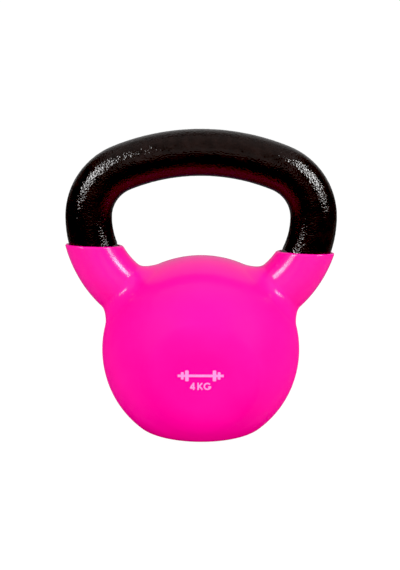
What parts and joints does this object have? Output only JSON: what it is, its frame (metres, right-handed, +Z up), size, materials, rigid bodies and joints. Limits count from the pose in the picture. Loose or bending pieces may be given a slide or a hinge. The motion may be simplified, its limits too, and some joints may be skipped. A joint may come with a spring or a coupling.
{
  "type": "kettlebell",
  "caption": "Round kettlebell with a wide looped handle, dipped in pink vinyl up to the horns, with a flat base and flat printed pads.",
  "frame": {"origin": "middle of the flat base, on the surface that the kettlebell stands on", "axes": "+Z up through the handle, +X along the handle bar, -Y out of the printed front"},
  "size_m": [0.1355, 0.0936, 0.1531],
  "materials": {
    "iron": "rough as cast",
    "vinyl": "satin hot-pink dipped vinyl, glossier on the horns",
    "enamel": "gloss black hammertone",
    "ink": "pale pink screen print"
  },
  "bodies": {
    "root": {"iron_casting": "iron", "vinyl_coat": "vinyl", "handle_enamel": "enamel", "weight_mark": "ink", "barbell_pictogram": "ink"}
  },
  "joints": []
}
